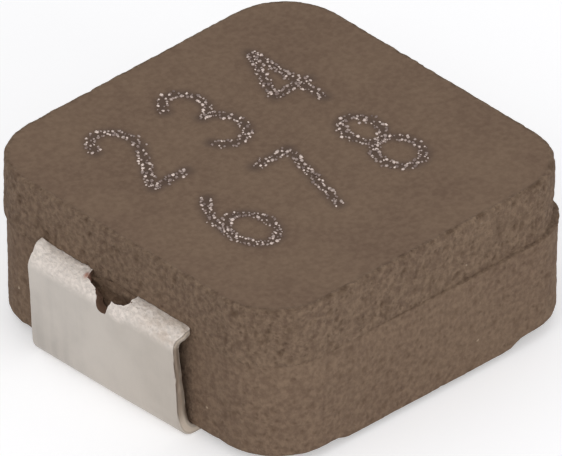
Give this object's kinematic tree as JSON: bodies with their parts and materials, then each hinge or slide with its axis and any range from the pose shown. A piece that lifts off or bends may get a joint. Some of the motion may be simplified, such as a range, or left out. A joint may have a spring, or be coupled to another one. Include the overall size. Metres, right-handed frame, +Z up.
{
  "type": "shielded smd inductor",
  "caption": "Square pressed-powder power inductor with tinned strip terminals folded down its ends and under it, for surface mounting.",
  "frame": {"origin": "middle of the whole part, on the board that the feet stand on", "axes": "+X from the left terminal to the right one, +Y towards the back, where the strips sit nearer, +Z up from the board"},
  "size_m": [0.0072, 0.0066, 0.0028],
  "materials": {
    "pressed_powder": "matte, grainy resin-bonded iron powder in taupe brown, smooth on top",
    "enamelled_copper": "copper under clear reddish enamel",
    "tinned_strip": "copper strip with a dull bright tin plating"
  },
  "bodies": {
    "root": {"pressed_body": "pressed_powder", "coil": "enamelled_copper", "terminal_left": "tinned_strip", "terminal_right": "tinned_strip"}
  },
  "joints": []
}
